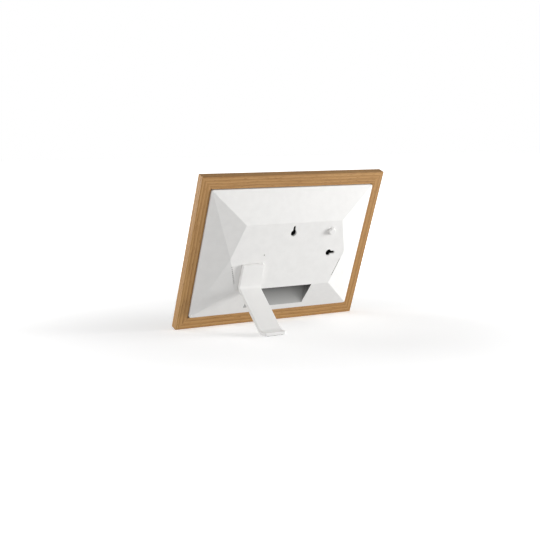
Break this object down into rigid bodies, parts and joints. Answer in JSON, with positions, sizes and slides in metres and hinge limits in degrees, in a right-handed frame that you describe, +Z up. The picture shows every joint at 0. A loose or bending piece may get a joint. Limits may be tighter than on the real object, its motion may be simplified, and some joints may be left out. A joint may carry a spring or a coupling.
{
  "type": "digital photo frame",
  "caption": "Leaning wooden digital picture frame with a faceted white rear cover, wall keyholes, a port pocket, a power button and a bent strut that swivels.",
  "frame": {"origin": "middle of the footprint, on the surface that the frame stands on", "axes": "+Z up; the display faces -Y and leans back; the strut stands behind, towards +Y; X runs along the wide side"},
  "size_m": [0.264, 0.1088, 0.1911],
  "materials": {
    "frame_wood": "oiled, satin",
    "spline_wood": "sawn, satin",
    "window_glass": "polished float glass",
    "mat_paper": "uncoated",
    "panel_glass": "anti-glare coated display glass",
    "backlight_can": "mill",
    "inner_black": "moulded ABS",
    "plate_steel": "galvanised sheet",
    "screw_steel": "zinc plated",
    "cover_white": "fine moulded texture",
    "strut_white": "smooth moulded",
    "sole_rubber": "matt",
    "washer_nylon": "nylon sheet",
    "retainer_steel": "pressed sheet",
    "board_green": "solder mask over glass fibre",
    "standoff_brass": "turned",
    "package_black": "moulded epoxy",
    "shield_tin": "tinned sheet",
    "jack_black": "moulded nylon",
    "socket_steel": "plated shell",
    "switch_black": "moulded nylon",
    "plunger_tan": "moulded nylon",
    "ribbon_film": "polyimide film",
    "connector_ivory": "moulded nylon",
    "cup_black": "moulded ABS",
    "speaker_black": "moulded ABS box",
    "gasket_foam": "foam",
    "lead_vinyl": "PVC sleeve"
  },
  "bodies": {
    "frame": {"backlight_unit": "backlight_can", "backplate": "plate_steel", "backplate_screws": "screw_steel", "board_components": "package_black", "board_screws": "screw_steel", "board_standoffs": "standoff_brass", "bottom_rail": "frame_wood", "card_slot": "socket_steel", "corner_splines": "spline_wood", "dc_jack": "jack_black", "display_ribbon": "ribbon_film", "front_glass": "window_glass", "inner_frame": "inner_black", "keyhole_cups": "cup_black", "lcd_panel": "panel_glass", "left_speaker": "speaker_black", "left_speaker_gasket": "gasket_foam", "left_speaker_lead": "lead_vinyl", "left_stile": "frame_wood", "main_board": "board_green", "mat_board": "mat_paper", "memory_chips": "package_black", "power_switch": "switch_black", "processor": "package_black", "processor_shield": "shield_tin", "rear_cover": "cover_white", "reset_switch": "switch_black", "ribbon_connector": "connector_ivory", "right_speaker": "speaker_black", "right_speaker_gasket": "gasket_foam", "right_speaker_lead": "lead_vinyl", "right_stile": "frame_wood", "speaker_sockets": "connector_ivory", "top_rail": "frame_wood", "usb_socket": "socket_steel", "wifi_module": "shield_tin"},
    "strut": {"stand_leg": "strut_white", "foot_pad": "sole_rubber", "swivel_washer": "washer_nylon", "swivel_retainer": "retainer_steel", "swivel_screws": "screw_steel"},
    "power_button": {"power_button": "cover_white", "power_switch_plunger": "plunger_tan"},
    "reset_plunger": {"reset_plunger": "plunger_tan"}
  },
  "joints": [
    {"name": "strut_swivel", "type": "hinge", "parent": "frame", "child": "strut", "pos_m": [0.0513, -0.00197, 0.06649], "axis": [0, -0.9385, 0.3453], "range_deg": [0, 90]},
    {"name": "power_press", "type": "slide", "parent": "frame", "child": "power_button", "axis": [0, -0.9385, 0.3453], "range_m": [0, 0.0008], "stiffness_N_per_m": 800, "springref_m": -0.0006},
    {"name": "reset_press", "type": "slide", "parent": "frame", "child": "reset_plunger", "axis": [0, -0.9385, 0.3453], "range_m": [0, 0.00025], "stiffness_N_per_m": 400, "springref_m": -0.0004}
  ]
}
